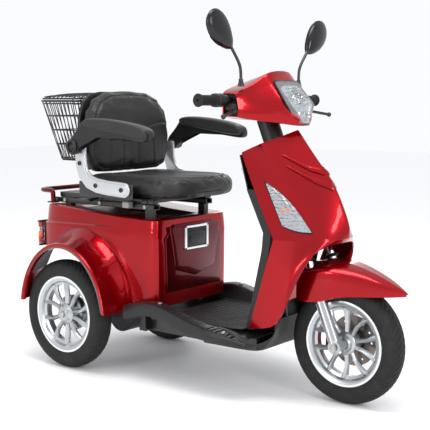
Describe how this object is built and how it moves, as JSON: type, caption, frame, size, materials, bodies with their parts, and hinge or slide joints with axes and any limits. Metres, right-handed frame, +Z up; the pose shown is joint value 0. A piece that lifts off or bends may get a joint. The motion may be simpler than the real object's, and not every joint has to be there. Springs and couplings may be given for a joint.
{
  "type": "mobility scooter",
  "caption": "Seated three-wheeled mobility scooter with raked fork, leg shield, footboard, sliding seat, flip-up armrests and a lidded wire basket.",
  "frame": {"origin": "on the floor, under the middle of the overall bounding box", "axes": "+Z up, the front points to -Y, the rider's right is -X"},
  "size_m": [0.68, 1.525, 1.2755],
  "materials": {
    "red_gloss_plastic": "metallic candy red gloss",
    "black_plastic": "moulded, fine texture",
    "black_paint": "satin black",
    "cast_alloy": "bright cast with a machined lip",
    "tyre_rubber": "black",
    "grip_rubber": "matt",
    "chrome": "polished",
    "steel": "zinc plated",
    "caliper_red": "red anodised",
    "leather": "grained black upholstery",
    "silver_cover": "silver, satin gloss",
    "clear_lens": "clear",
    "red_lens": "red",
    "battery_case": "moulded"
  },
  "bodies": {
    "chassis": {"frame_tubes": "black_paint", "head_tube": "black_paint", "floor_pan": "black_plastic", "belly_cover": "black_plastic", "rear_body_shell": "red_gloss_plastic", "rear_fender_right": "red_gloss_plastic", "rear_fender_left": "red_gloss_plastic", "tail_lights": "red_lens", "front_shield": "red_gloss_plastic", "indicator_lenses": "clear_lens", "leg_shield_inner": "black_plastic", "battery_pack": "battery_case", "motor_controller": "black_plastic", "storage_tub": "black_plastic", "grab_rail": "red_gloss_plastic", "shock_uppers": "black_paint", "shock_springs": "steel", "seat_slide_rails": "black_paint"},
    "door": {"box_door": "red_gloss_plastic"},
    "latch": {"latch_paddle": "black_plastic"},
    "key": {"ignition_key": "steel"},
    "steering": {"steering_stem": "black_paint", "stanchions": "chrome", "handlebar": "black_paint", "head_cowl": "red_gloss_plastic", "headlight_lens": "clear_lens", "column_cover": "black_plastic", "grip_left": "grip_rubber", "switch_pods": "black_plastic"},
    "throttle": {"throttle_grip": "grip_rubber"},
    "lever_right": {"brake_lever_right": "black_paint"},
    "lever_left": {"brake_lever_left": "black_paint"},
    "horn": {"horn_button": "black_plastic"},
    "turn_switch": {"indicator_switch": "black_plastic"},
    "stalk_right": {"mirror_stalk_right": "black_paint"},
    "stalk_left": {"mirror_stalk_left": "black_paint"},
    "mirror_right": {"mirror_head_right": "black_plastic"},
    "mirror_left": {"mirror_head_left": "black_plastic"},
    "fork_lower": {"fork_sliders": "cast_alloy", "front_axle": "steel", "brake_caliper": "caliper_red", "front_fender": "red_gloss_plastic"},
    "front_wheel": {"front_rim": "cast_alloy", "front_tyre": "tyre_rubber", "brake_disc": "steel"},
    "swing": {"rear_axle_unit": "black_paint"},
    "wheel_right": {"rear_rim_right": "cast_alloy", "rear_tyre_right": "tyre_rubber"},
    "wheel_left": {"rear_rim_left": "cast_alloy", "rear_tyre_left": "tyre_rubber"},
    "seat": {"seat_base": "black_paint", "seat_cushion": "leather", "backrest_shell": "black_plastic", "back_cushion": "leather", "arm_brackets": "silver_cover", "basket": "black_paint"},
    "seat_lever": {"slide_lever": "black_plastic"},
    "arm_right": {"armrest_right": "black_plastic"},
    "arm_left": {"armrest_left": "black_plastic"},
    "lid": {"basket_lid": "black_paint"}
  },
  "joints": [
    {"name": "steer_turn", "type": "hinge", "parent": "chassis", "child": "steering", "pos_m": [0, -0.51778, 0.19052], "axis": [0, 0.3827, 0.9239], "range_deg": [-30, 30]},
    {"name": "front_suspension", "type": "slide", "parent": "steering", "child": "fork_lower", "axis": [0, 0.3827, 0.9239], "range_m": [0, 0.03], "stiffness_N_per_m": 14000, "springref_m": -0.03},
    {"name": "front_wheel_spin", "type": "hinge", "parent": "fork_lower", "child": "front_wheel", "pos_m": [0, -0.5455, 0.202], "axis": [1, 0, 0], "continuous": true},
    {"name": "rear_swing", "type": "hinge", "parent": "chassis", "child": "swing", "pos_m": [0, 0.2315, 0.19], "axis": [1, 0, 0], "range_deg": [0, 4], "stiffness_Nm_per_rad": 3000, "springref_deg": -5.16, "deforming": ["shock_springs"]},
    {"name": "rear_wheel_right_spin", "type": "hinge", "parent": "swing", "child": "wheel_right", "pos_m": [-0.275, 0.4945, 0.202], "axis": [1, 0, 0], "continuous": true},
    {"name": "rear_wheel_left_spin", "type": "hinge", "parent": "swing", "child": "wheel_left", "pos_m": [0.275, 0.4945, 0.202], "axis": [1, 0, 0], "continuous": true},
    {"name": "seat_slide", "type": "slide", "parent": "chassis", "child": "seat", "axis": [0, 1, 0], "range_m": [-0.05, 0.05]},
    {"name": "slide_lever_lift", "type": "hinge", "parent": "seat", "child": "seat_lever", "pos_m": [-0.167, 0.4495, 0.627], "axis": [0, 1, 0], "range_deg": [0, 8], "stiffness_Nm_per_rad": 0.6, "springref_deg": -17.19},
    {"name": "armrest_right_flip", "type": "hinge", "parent": "seat", "child": "arm_right", "pos_m": [-0.245, 0.4495, 0.823], "axis": [-1, 0, 0], "range_deg": [0, 95]},
    {"name": "armrest_left_flip", "type": "hinge", "parent": "seat", "child": "arm_left", "pos_m": [0.245, 0.4495, 0.823], "axis": [-1, 0, 0], "range_deg": [0, 95]},
    {"name": "basket_lid_hinge", "type": "hinge", "parent": "seat", "child": "lid", "pos_m": [0, 0.5365, 0.991], "axis": [1, 0, 0], "range_deg": [0, 85]},
    {"name": "door_hinge", "type": "hinge", "parent": "chassis", "child": "door", "pos_m": [0, 0.1205, 0.304], "axis": [1, 0, 0], "range_deg": [0, 80]},
    {"name": "latch_pull", "type": "hinge", "parent": "door", "child": "latch", "pos_m": [0, 0.1185, 0.521], "axis": [-1, 0, 0], "range_deg": [0, 35], "stiffness_Nm_per_rad": 0.05, "springref_deg": -17.19},
    {"name": "key_turn", "type": "hinge", "parent": "chassis", "child": "key", "pos_m": [-0.09, -0.2205, 0.7455], "axis": [0, 0.9578, 0.2873], "range_deg": [0, 90]},
    {"name": "throttle_twist", "type": "hinge", "parent": "steering", "child": "throttle", "pos_m": [-0.336, -0.18638, 0.9906], "axis": [-1, 0, 0], "range_deg": [0, 70], "stiffness_Nm_per_rad": 0.1, "springref_deg": -17.19},
    {"name": "brake_right_pull", "type": "hinge", "parent": "steering", "child": "lever_right", "pos_m": [-0.202, -0.22438, 0.9546], "axis": [0, 0, -1], "range_deg": [0, 22], "stiffness_Nm_per_rad": 0.5, "springref_deg": -17.19},
    {"name": "brake_left_pull", "type": "hinge", "parent": "steering", "child": "lever_left", "pos_m": [0.202, -0.22438, 0.9546], "axis": [0, 0, 1], "range_deg": [0, 22], "stiffness_Nm_per_rad": 0.5, "springref_deg": -17.19},
    {"name": "horn_press", "type": "slide", "parent": "steering", "child": "horn", "axis": [0, -1, 0], "range_m": [0, 0.002], "stiffness_N_per_m": 600, "springref_m": -0.001},
    {"name": "turn_switch_slide", "type": "slide", "parent": "steering", "child": "turn_switch", "axis": [1, 0, 0], "range_m": [-0.003, 0.003]},
    {"name": "mirror_stalk_right_swivel", "type": "hinge", "parent": "steering", "child": "stalk_right", "pos_m": [-0.166, -0.2275, 1.044], "axis": [0, 0, 1], "range_deg": [-45, 45]},
    {"name": "mirror_right_tilt", "type": "hinge", "parent": "stalk_right", "child": "mirror_right", "pos_m": [-0.222, -0.2275, 1.164], "axis": [1, 0, 0], "range_deg": [-12, 12]},
    {"name": "mirror_stalk_left_swivel", "type": "hinge", "parent": "steering", "child": "stalk_left", "pos_m": [0.166, -0.2275, 1.044], "axis": [0, 0, 1], "range_deg": [-45, 45]},
    {"name": "mirror_left_tilt", "type": "hinge", "parent": "stalk_left", "child": "mirror_left", "pos_m": [0.222, -0.2275, 1.164], "axis": [1, 0, 0], "range_deg": [-12, 12]}
  ]
}
